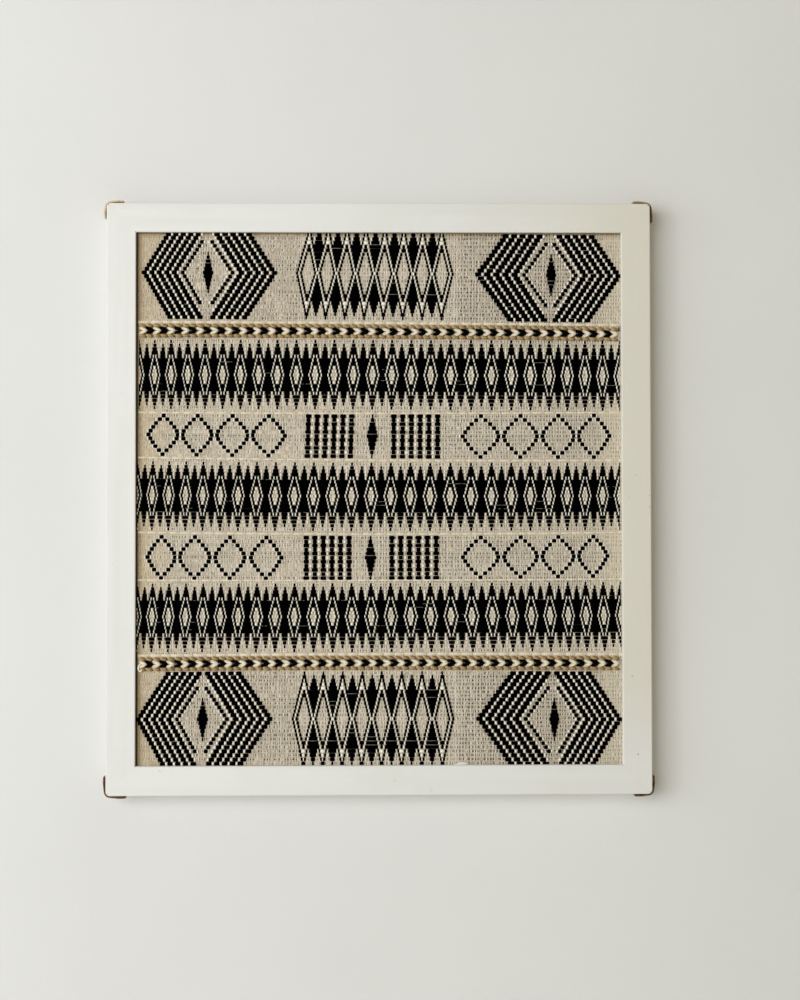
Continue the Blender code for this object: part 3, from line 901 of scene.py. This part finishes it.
def weave_hexagon(facts, black, cream, peeks):
    """Nested stripes of blocks that step in from the widest pick, round a small spindle."""
    row = facts["row"]
    middle = facts["middle"]
    top = 10 if row == "hexagons_top" else 12
    for side, sign in (("left", -1), ("right", 1)):
        half = facts[side]
        wide = half["wide"]
        for pick in range(-12, top + 1):
            step = half["up"] if pick > 0 else half["down"]
            inward = step * abs(pick)
            spacing = half["spacing"] - half["squeeze"] * abs(pick)
            places = [half["outer"] - spacing * n - inward for n in range(5)]
            lean = -sign * (0.22 if pick > 0 else -0.22 if pick < 0 else 0)
            for n, place in enumerate(places):
                x = middle + sign * place
                if abs(x) < HEXAGON_EDGE:
                    block(black, row, pick, x, wide + 0.1, 1.06)
                    if chance.random() < 0.05:
                        high = pick_height(row, pick + 0.5, x / 1000)
                        peeks.append((x / 1000, high, wide * 0.0008, 0.00042, 0.0))
                if n < 4 or abs(pick) <= 10:
                    block(cream, row, pick, x - sign * spacing / 2, 2.0, 0.74, lean * 0.5)
            if abs(pick) <= 8:
                inner = half["inner"] - inward
                block(black, row, pick, middle + sign * inner, 3.6, 1.0)
                if inner > 3:
                    block(cream, row, pick, middle + sign * (inner - 2.7), 1.5, 0.72, lean)
    widths = {0: 9.8, 1: 8.0, 2: 6.2, 3: 4.6, 4: 3.0, 5: 1.4}
    for pick in range(-5, 6):
        block(black, row, pick, middle, widths[abs(pick)], 1.04)
        if pick < 5 and chance.random() < 0.28:
            high = pick_height(row, pick + 0.5, middle / 1000)
            peeks.append((middle / 1000, high, widths[abs(pick)] * 0.0009, 0.00044, 0.0))


def weave_lattice(row, black, cream, peeks):
    """Eight tall diamonds side by side, outlined twice, with black spindles between them."""
    facts = LATTICES[row]
    top = 10 if row == "hexagons_top" else 12
    pitch = ROWS[row]["pitch"]
    for pick in range(-12, top + 1):
        level = abs(pick)
        drift = facts["lean"] * pick * pitch * 1000
        for number in range(9):
            fade = 1 - number / 8
            middle = facts["first"] + facts["step"] * number + facts["growth"] * number**2 + drift * fade
            after = facts["step"] + facts["growth"] * (2 * number + 1)
            before = facts["step"] + facts["growth"] * (2 * number - 1)
            up = 0.18 if pick > 0 else -0.18 if pick < 0 else 0.0
            inner = 6.45 - 0.87 * level
            line = 8.3 - 0.87 * level
            outer = 10.1 - 0.87 * level
            if number < 8:
                if level == 12:
                    block(black, row, pick, middle, 1.7, 0.95)
                elif level == 11:
                    block(black, row, pick, middle, 3.8, 1.0)
                elif level >= 8:
                    for side in (-1, 1):
                        block(black, row, pick, middle + side * outer, 2.15, 0.98, -side * up * 0.5)
                    block(cream, row, pick, middle, max(2 * outer - 2.2, 0.9), 0.82)
                else:
                    if level >= 6:
                        block(black, row, pick, middle, 2 * inner + 1.7, 1.03)
                    else:
                        for side in (-1, 1):
                            block(black, row, pick, middle + side * inner, 2.1, 0.98, -side * up * 0.5)
                    for side in (-1, 1):
                        block(cream, row, pick, middle + side * line, 1.25, 0.78, -side * up * 0.3)
            if number == 0 and level < 8:
                block(black, row, pick, middle - outer, 2.15, 0.98, up * 0.5)
            if number == 8:
                if level < 8:
                    block(black, row, pick, middle - before + outer, 2.15, 0.98, -up * 0.5)
                continue
            if number == 7:
                continue
            between = middle + after / 2
            if 0 < level < 8:
                half = after / 2 - line - 0.55
                block(black, row, pick, between, 2 * max(half, 0.65), 1.03)
                if chance.random() < 0.16 and level > 2:
                    high = pick_height(row, pick + 0.5, between / 1000)
                    peeks.append((between / 1000, high, half * 0.0017, 0.00046, 0.0))
            elif level >= 8:
                half = {8: 3.9, 9: 3.0, 10: 2.1, 11: 0.85}.get(level)
                if half:
                    block(black, row, pick, between, 2 * half, 1.03)
                if level in (8, 9):
                    for side in (-1, 1):
                        block(cream, row, pick, between + side * (half + 0.75), 1.0, 0.85, side * up)


def weave_rings(row, black, cream):
    """Rings of single blocks, eleven picks high."""
    rounded = {0: 1.0, 1: 0.93, 2: 0.745, 3: 0.525, 4: 0.265, 5: 0.0}
    pointed = {0: 1.0, 1: 0.86, 2: 0.695, 3: 0.51, 4: 0.26, 5: 0.0}
    facts = RINGS[row]
    for number, (middle, half) in enumerate(zip(facts["middles"], facts["halves"])):
        first_in_set, last_in_set = number in (0, 4), number in (3, 7)
        outward = -1 if first_in_set else 1 if last_in_set else 0
        lean = 0.10 if row == "rings_top" and middle < -150 else 0.04
        for pick in range(-5, 6):
            for side in (-1, 1) if abs(pick) < 5 else (1,):
                share = pointed if side == outward else rounded
                x = middle + side * half * share[abs(pick)] + lean * pick
                block(black, row, pick, x, 4.0, 0.93)
                for edge in (-1, 1):
                    block(cream, row, pick, x + edge * 2.55, 1.0, 0.84)


def weave_beads(row, black, cream, peeks):
    """Two sets of six bead columns either side of a small spindle."""
    facts = BEADS[row]
    lines = {0: 0.9, -4: 0.9, -5: 0.9, 2: 0.4, 3: 0.4}
    for side in ("left", "right"):
        for number in range(6):
            base = facts[side] + number * facts[side + "_step"]
            for pick in range(-5, 6):
                lean = facts["lean"] * pick * 3.5 * (1 if side == "left" else 0.15)
                wide = 5.3 if pick % 2 else 3.7
                block(black, row, pick, base + lean, wide, 0.98 if pick % 2 else 1.04)
                gap = facts[side + "_step"] - wide
                beside = base + lean + facts[side + "_step"] / 2
                if number < 5 and pick % 2 == 0:
                    block(cream, row, pick, beside, min(gap * 0.52, 2.2), 0.76)
                elif number < 5 and chance.random() < 0.5:
                    block(cream, row, pick, beside, 1.0, 0.66)
                if pick < 5 and chance.random() < lines.get(pick, 0.12):
                    at = (base + lean) / 1000
                    high = pick_height(row, pick + 0.5, at)
                    peeks.append((at, high, 0.0045, chance.uniform(0.0004, 0.0006), 0.0))
    widths = {0: 10.4, 1: 8.6, 2: 6.9, 3: 5.2, 4: 3.4, 5: 1.6}
    for pick in range(-5, 6):
        at = facts["spindle"] + facts["lean"] * pick * 2
        block(black, row, pick, at, widths[abs(pick)], 1.03)
        if pick < 5 and chance.random() < lines.get(pick, 0.12):
            high = pick_height(row, pick + 0.5, at / 1000)
            peeks.append((at / 1000, high, widths[abs(pick)] * 0.0009, 0.00045, 0.0))


def weave_pattern():
    """All the floats, by row: black ones, cream ones and the weft that shows between them."""
    pieces = []
    for row in ROWS:
        black, cream, peeks = [], [], []
        if row.startswith("spindles"):
            weave_spindles(row, black, cream, peeks)
        elif row.startswith("rings"):
            weave_rings(row, black, cream)
            weave_beads(row, black, cream, peeks)
        else:
            for facts in HEXAGONS.values():
                if facts["row"] == row:
                    weave_hexagon(facts, black, cream, peeks)
            weave_lattice(row, black, cream, peeks)
        corner = 0.0008 if row.startswith("spindles") else 0.0012
        pieces.append(lay_floats(row + "_black_floats", FLOAT, black, BLACK, 0.00065, corner))
        pieces.append(lay_floats(row + "_cream_floats", GRAIN, cream, CREAM, 0.00080, 0.0010))
        if peeks:
            pieces.append(lay_floats(row + "_weft_peeks", GRAIN, peeks, PEEK, 0.00090, 0.0008))
    return pieces


def weave_plain_lines():
    """Lines of plain cream weft between the rows of pattern."""
    floats = []
    for line in PLAIN_LINES:
        x = -0.2215
        while x < 0.2205:
            width = chance.uniform(0.0085, 0.012)
            at = x + width / 2
            tall = line["tall"] / 1000 * chance.uniform(0.94, 1.06)
            floats.append((at, across(line, at) / 1000, width * 1.02, tall, 0.0))
            x += width
    return lay_floats("plain_weft_lines", FLOAT, floats, WEFT, 0.00042, 0.0006)


# The twined bands
def band_level(name, x):
    return across(BANDS[name], x, BAND_LENGTH / 2)


def twine_band(name):
    """A braid of slanting cream and black turns, between two brown cords."""
    cream, black, high, low = [], [], [], []
    chevrons = 67
    pitch = BAND_LENGTH / chevrons
    for number in range(chevrons):
        length = 0.0083
        at = -BAND_LENGTH / 2 + pitch * (number + 0.5) + chance.uniform(-0.0004, 0.0004)
        at = min(max(at, -BAND_LENGTH / 2 + length / 2), BAND_LENGTH / 2 - length / 2)
        wide = chance.uniform(0.94, 1.06)
        turns = cream if number % 2 == 0 else black
        for side in (-1, 1):
            level = band_level(name, at) + side * 0.00144
            y = cloth_front(at, level) - 0.00165
            turns.append((at, y, level, length, 0.0033 * wide, 0.0026, -side * 0.36, 0.00035))
    if name == "band_upper":
        for up, length in ((0.0058, 0.0024), (0.0034, 0.0022)):
            level = band_level(name, 0.2212) + up
            y = cloth_front(0.2212, level) - 0.0012
            black.append((0.2212, y, level, length, 0.0012, 0.0012, 1.45, 0.0))
    bumps = 66
    pitch = BAND_LENGTH / bumps
    for cord, side in ((high, 1), (low, -1)):
        for number in range(bumps):
            length = 0.0074
            at = -BAND_LENGTH / 2 + pitch * (number + 0.5) + chance.uniform(-0.0003, 0.0003)
            at = min(max(at, -BAND_LENGTH / 2 + length / 2), BAND_LENGTH / 2 - length / 2)
            level = band_level(name, at) + side * CORD_SPACING / 2 + chance.uniform(-0.0001, 0.0001)
            y = cloth_front(at, level) - 0.00135
            thick = 0.0034 * chance.uniform(0.92, 1.08)
            cord.append((at, y, level, length, thick, 0.0027, -0.30, 0.0003))
    pieces = {
        "cream": lay_lobes(name + "_cream_turns", LEAF, cream, BRAID_CREAM),
        "black": lay_lobes(name + "_black_turns", LEAF, black, BRAID_BLACK),
        "high": lay_lobes(name + "_high_cord_turns", LEAF, high, JUTE),
        "low": lay_lobes(name + "_low_cord_turns", LEAF, low, JUTE),
    }
    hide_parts(name + "_braid")
    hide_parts(name + "_cord_high")
    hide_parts(name + "_cord_low")
    return list(pieces.values())


# The frame's own finish
for name in ("rail_top", "rail_bottom"):
    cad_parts[name].data.materials.clear()
    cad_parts[name].data.materials.append(PAINT_LEVEL)
for name in ("rail_left", "rail_right"):
    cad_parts[name].data.materials.clear()
    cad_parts[name].data.materials.append(PAINT_UPRIGHT)
for name in ("strap_top_left", "strap_top_right", "strap_bottom_left", "strap_bottom_right"):
    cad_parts[name].data.materials.clear()
    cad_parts[name].data.materials.append(BRASS)


def finish_in_edit(piece):
    """Turns all faces outwards, leaves edit mode and rounds the shading."""
    bpy.ops.mesh.select_all(action="SELECT")
    bpy.ops.mesh.normals_make_consistent(inside=False)
    bpy.ops.object.mode_set(mode="OBJECT")
    bpy.ops.object.shade_smooth_by_angle(angle=math.radians(40))


def fill_mitre(name, side, top):
    """The paint that has run into a mitre: a thin strip with a hollow front, below the rails' faces."""
    clear_choice()
    bpy.ops.mesh.primitive_cube_add(size=1)
    piece = bpy.context.active_object
    piece.name = name
    piece.scale = (MITRE_LENGTH, 0.0030, 0.00034)
    bpy.ops.object.transform_apply(location=False, rotation=False, scale=True)
    bpy.ops.object.mode_set(mode="EDIT")
    choose_faces(piece, lambda middle, normal: normal.y < -0.9)
    bpy.ops.mesh.inset(thickness=0.00010)
    bpy.ops.transform.translate(value=(0, 0.00006, 0))
    finish_in_edit(piece)
    piece.rotation_euler = (0, -side * top * math.pi / 4, 0)
    from_corner = (MITRE_DIAGONAL - MITRE_LENGTH / 2 - MITRE_INSET) / math.sqrt(2)
    piece.location = (
        side * (FRAME_WIDTH / 2 - from_corner),
        -0.02048,
        CENTRE_Z + top * (FRAME_HEIGHT / 2 - from_corner),
    )
    bpy.ops.object.transform_apply(location=True, rotation=True, scale=True)
    piece.data.materials.append(PAINT_LEVEL)
    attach(piece, "root")


def drip_paint():
    """A blob of white paint that has run from the bottom rail onto the cloth's edge."""
    clear_choice()
    bpy.ops.mesh.primitive_uv_sphere_add(segments=24, ring_count=12, radius=1)
    piece = bpy.context.active_object
    piece.name = "paint_drip"
    piece.scale = (0.0076, 0.0011, 0.00135)
    bpy.ops.object.transform_apply(location=False, rotation=False, scale=True)
    bpy.ops.object.mode_set(mode="EDIT")
    choose_faces(piece, lambda middle, normal: middle.x < -0.003)
    bpy.ops.transform.resize(value=(1, 0.8, 0.62))
    bpy.ops.transform.translate(value=(0, 0, -0.0004))
    choose_faces(piece, lambda middle, normal: abs(middle.x - 0.0025) < 0.0016 and normal.z > 0)
    bpy.ops.transform.translate(value=(0, 0, 0.0004))
    finish_in_edit(piece)
    piece.location = (0.0745, -0.0184, CENTRE_Z - 0.2438)
    piece.rotation_euler = (0, -0.05, 0)
    bpy.ops.object.transform_apply(location=True, rotation=True, scale=True)
    piece.data.materials.append(PAINT_LEVEL)
    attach(piece, "root")


def loop_yarn():
    """The end of a braid yarn, turned back in a loop at the lower band's left end."""
    level = band_level("band_lower", -0.218)
    route = (
        (-0.2150, 0.0006), (-0.2176, 0.0009), (-0.2198, 0.0000), (-0.2207, -0.0024),
        (-0.2206, -0.0050), (-0.2194, -0.0068), (-0.2180, -0.0064), (-0.2176, -0.0046),
    )
    curve = bpy.data.curves.new("braid_end_loop", "CURVE")
    curve.dimensions = "3D"
    curve.bevel_depth = 0.00062
    curve.bevel_resolution = 2
    curve.use_fill_caps = True
    spline = curve.splines.new("NURBS")
    spline.points.add(len(route) - 1)
    for point, (x, up) in zip(spline.points, route):
        z = level + up
        point.co = (x, float(cloth_front(x, z)) - 0.0022, z + CENTRE_Z, 1)
    spline.use_endpoint_u = True
    spline.order_u = 4
    clear_choice()
    piece = bpy.data.objects.new("braid_end_loop", curve)
    bpy.context.scene.collection.objects.link(piece)
    piece.select_set(True)
    bpy.context.view_layer.objects.active = piece
    bpy.ops.object.convert(target="MESH")
    piece = bpy.context.active_object
    bpy.ops.object.shade_smooth()
    piece.data.materials.clear()
    piece.data.materials.append(CREAM)
    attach(piece, "root")
    return piece


for name, side, top in (
    ("mitre_top_right", 1, 1),
    ("mitre_bottom_right", 1, -1),
    ("mitre_bottom_left", -1, -1),
    ("mitre_top_left", -1, 1),
):
    fill_mitre(name, side, top)
drip_paint()

cloth = weave_cloth()
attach(cloth, "root")
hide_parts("cloth")
woven = weave_pattern()
woven.append(weave_plain_lines())
for piece in woven:
    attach(piece, "root")
twined = twine_band("band_upper") + twine_band("band_lower")
for piece in twined:
    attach(piece, "root")
twined.append(loop_yarn())


# The wall, the floor, the light and the camera
def plaster(name, colour, one_sided):
    wall = Finish(name)
    here = wall.place()
    clouds = wall.noise(here, 3.0, 3.0, 0.5)
    grain = wall.noise(here, 260.0, 3.0, 0.6)
    shade = wall.mixed(wall.between(clouds, 0.3, 0.7), colour, tuple(v * 0.97 for v in colour))
    normal = wall.relief(grain, 0.0004, 0.25)
    material = wall.finish(shade, 0.9, normal, Specular_IOR_Level=0.2)
    if one_sided:
        away = wall.nodes.new("ShaderNodeNewGeometry")
        clear = wall.nodes.new("ShaderNodeBsdfTransparent")
        either = wall.nodes.new("ShaderNodeMixShader")
        wall.links.new(away.outputs["Backfacing"], either.inputs[0])
        wall.links.new(wall.surface.outputs[0], either.inputs[1])
        wall.links.new(clear.outputs[0], either.inputs[2])
        wall.links.new(either.outputs[0], wall.nodes["Material Output"].inputs["Surface"])
    return material


def stand_wall():
    clear_choice()
    bpy.ops.mesh.primitive_plane_add(size=1, location=(0, 0.0012, -0.1), rotation=(math.pi / 2, 0, 0))
    wall = bpy.context.active_object
    wall.name = "wall"
    wall.scale = (5.0, 3.2, 1)
    bpy.ops.object.transform_apply(location=True, rotation=True, scale=True)
    wall.data.materials.append(plaster("wall_plaster", tone(226, 225, 221), True))
    wall.visible_shadow = False
    clear_choice()
    bpy.ops.mesh.primitive_plane_add(size=1, location=(0, -0.6, -1.35))
    floor = bpy.context.active_object
    floor.name = "floor"
    floor.scale = (7.0, 7.0, 1)
    bpy.ops.object.transform_apply(location=True, rotation=True, scale=True)
    floor.data.materials.append(plaster("floor_screed", tone(222, 220, 214), False))


def add_light(name, place, target, size, power, colour):
    light = bpy.data.lights.new(name, "AREA")
    light.shape = "RECTANGLE"
    light.size = size[0]
    light.size_y = size[1]
    light.energy = power
    light.color = colour
    lamp = bpy.data.objects.new(name, light)
    bpy.context.scene.collection.objects.link(lamp)
    lamp.location = place
    lamp.rotation_euler = (Vector(target) - Vector(place)).to_track_quat("-Z", "Y").to_euler()
    return lamp


stand_wall()
add_light("window_light", (-1.85, -2.8, 0.30), (0, 0, CENTRE_Z), (2.6, 2.2), 71.8, (0.985, 1.0, 1.035))
add_light("side_window_light", (-2.9, -1.55, -0.1), (0, 0, CENTRE_Z), (1.8, 1.8), 28.3, (0.90, 1.0, 1.18))
add_light("room_light", (1.2, 2.4, 0.6), (0, 0, CENTRE_Z), (2.0, 2.0), 26, (1.0, 0.98, 0.94))

world = bpy.data.worlds.new("room")
world.use_nodes = True
world.node_tree.nodes["Background"].inputs["Color"].default_value = (1.0, 0.935, 0.72, 1)
world.node_tree.nodes["Background"].inputs["Strength"].default_value = 0.30
bpy.context.scene.world = world

lens = bpy.data.cameras.new("camera")
lens.lens = 50
lens.sensor_width = 36
camera = bpy.data.objects.new("camera", lens)
bpy.context.scene.collection.objects.link(camera)
camera.location = (0.00007, -1.29512, -0.28171)
camera.rotation_euler = (math.pi / 2 + 0.01722, 0.00147, -0.01475)
bpy.context.scene.camera = camera
bpy.context.scene.view_settings.view_transform = "Standard"
bpy.context.scene.view_settings.look = "None"
